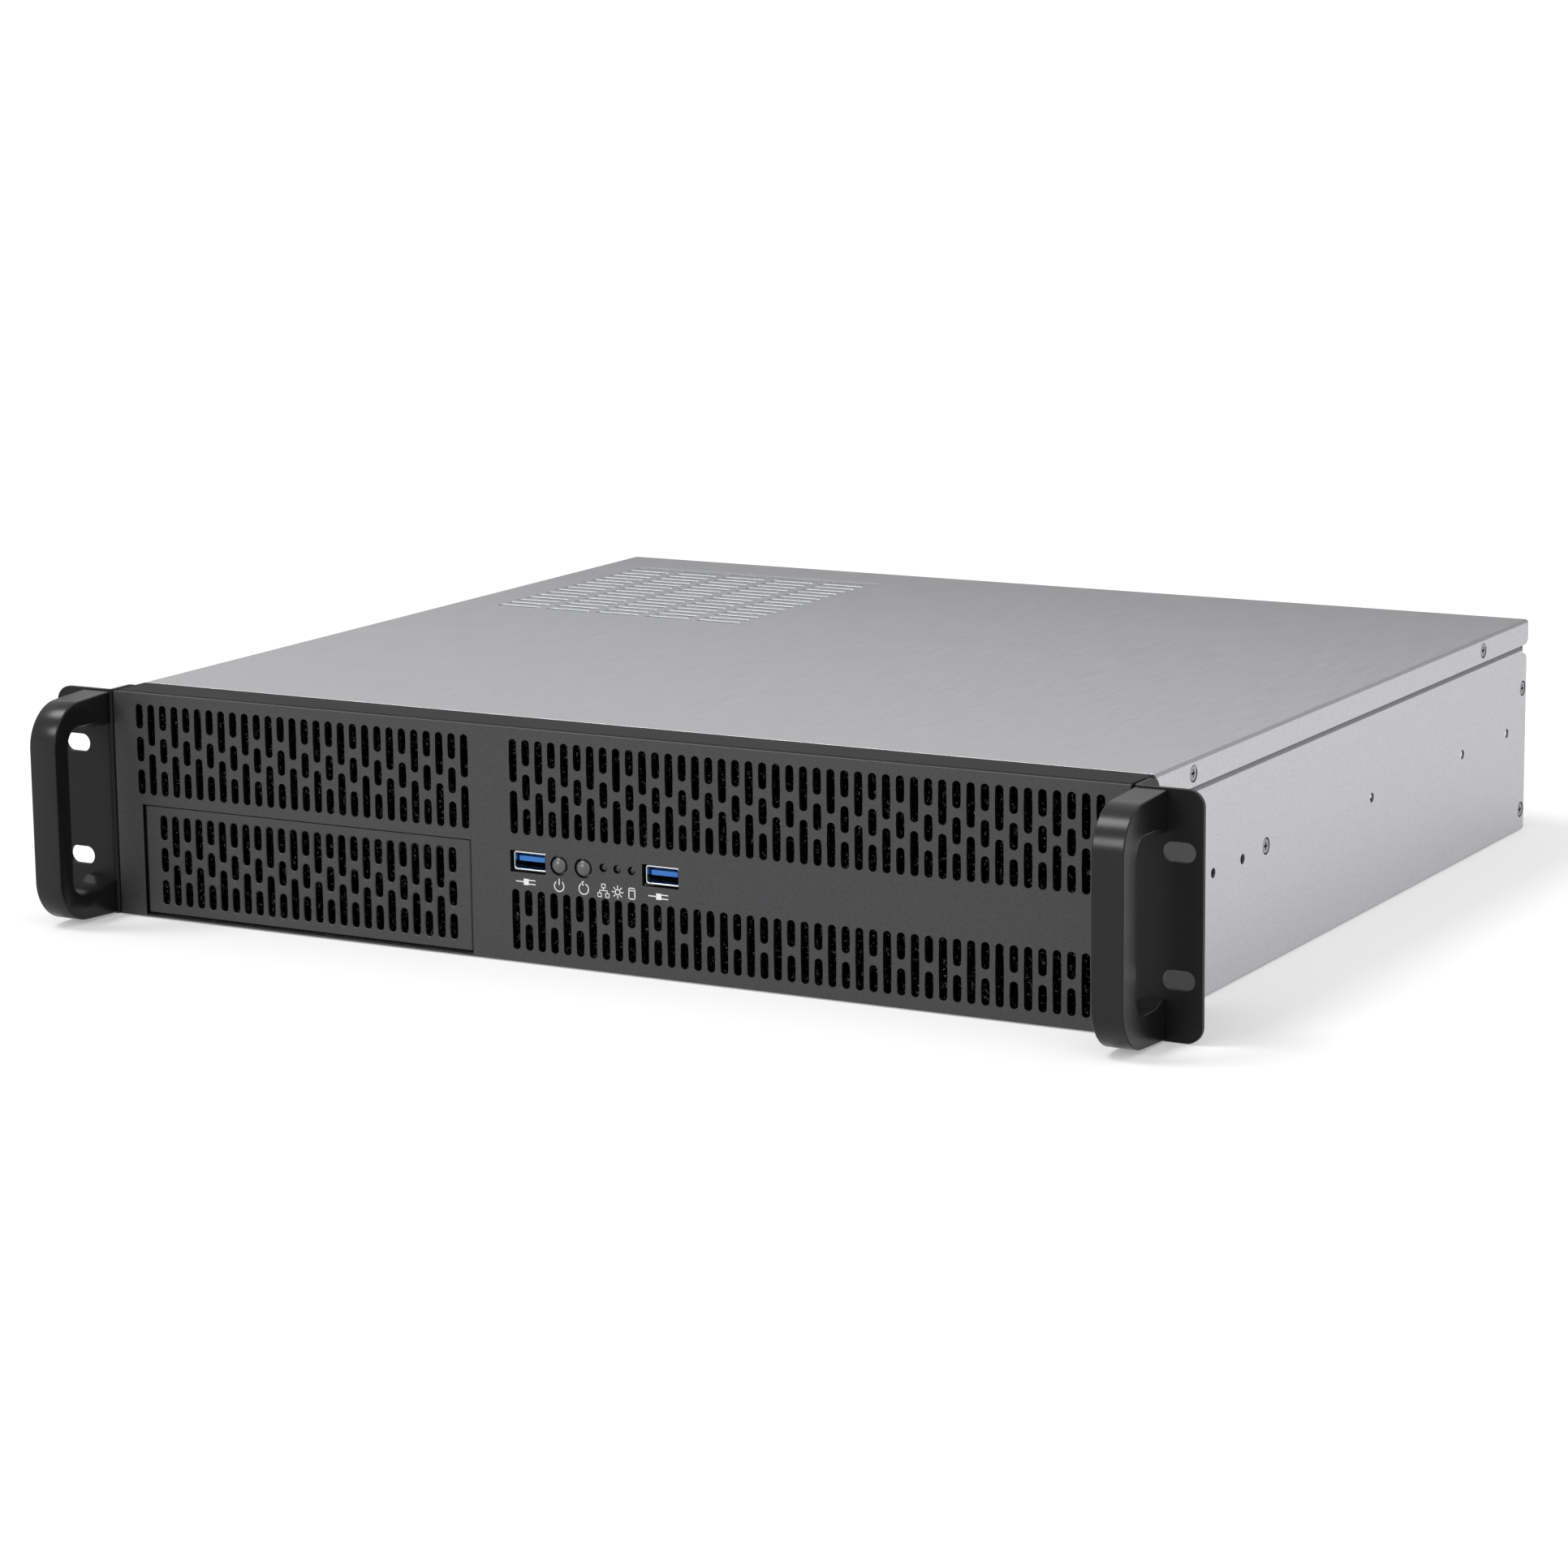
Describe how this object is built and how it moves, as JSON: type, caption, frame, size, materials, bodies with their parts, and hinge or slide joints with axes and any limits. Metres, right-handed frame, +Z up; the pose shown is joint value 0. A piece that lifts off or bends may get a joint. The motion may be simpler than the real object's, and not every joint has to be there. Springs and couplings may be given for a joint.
{
  "type": "rackmount server case",
  "caption": "Short two-unit rackmount server case: grey steel tub and cover, black slotted front with a bay cover, rack ears and moulded handles.",
  "frame": {"origin": "middle of the whole case's footprint, on the plane of the floor's underside", "axes": "+X to the right seen from the front, +Y from the front to the rear, +Z up"},
  "size_m": [0.4826, 0.425, 0.088],
  "materials": {
    "steel": "satin zinc-coated sheet",
    "blank": "satin zinc-coated sheet",
    "black_powder": "fine black powder coat",
    "handle_black": "moulded, satin gloss",
    "foam": "open-cell foam",
    "brass": "turned",
    "screw": "zinc plated",
    "board": "varnished circuit board",
    "key": "gloss",
    "plunger": "moulded",
    "switch": "moulded",
    "socket_steel": "bright tin plate",
    "socket_blue": "moulded",
    "lamp": "clear moulded"
  },
  "bodies": {
    "case": {"bay_cover": "black_powder", "board_standoffs": "brass", "chassis_base": "steel", "cover_screws": "screw", "disk_lamp": "lamp", "drive_cage": "steel", "fan_bracket": "steel", "foam_filter_bay": "foam", "foam_filter_left": "foam", "foam_filter_right_lower": "foam", "foam_filter_right_upper": "foam", "front_frame": "black_powder", "front_io_board": "board", "front_panel": "black_powder", "handle_left": "handle_black", "handle_right": "handle_black", "io_board_posts": "brass", "network_lamp": "lamp", "power_lamp": "lamp", "power_switch": "switch", "rack_ear_left": "black_powder", "rack_ear_right": "black_powder", "rear_panel": "steel", "reset_switch": "switch", "slot_blank_1": "blank", "slot_blank_2": "blank", "slot_blank_3": "blank", "slot_blank_4": "blank", "supply_rest": "steel", "top_cover": "steel", "usb_shell_left": "socket_steel", "usb_shell_right": "socket_steel", "usb_tongue_left": "socket_blue", "usb_tongue_right": "socket_blue"},
    "power_key": {"power_button": "key", "power_plunger": "plunger"},
    "reset_key": {"reset_button": "key", "reset_plunger": "plunger"}
  },
  "joints": [
    {"name": "power_press", "type": "slide", "parent": "case", "child": "power_key", "axis": [0, 1, 0], "range_m": [0, 0.001], "stiffness_N_per_m": 800},
    {"name": "reset_press", "type": "slide", "parent": "case", "child": "reset_key", "axis": [0, 1, 0], "range_m": [0, 0.001], "stiffness_N_per_m": 800}
  ]
}
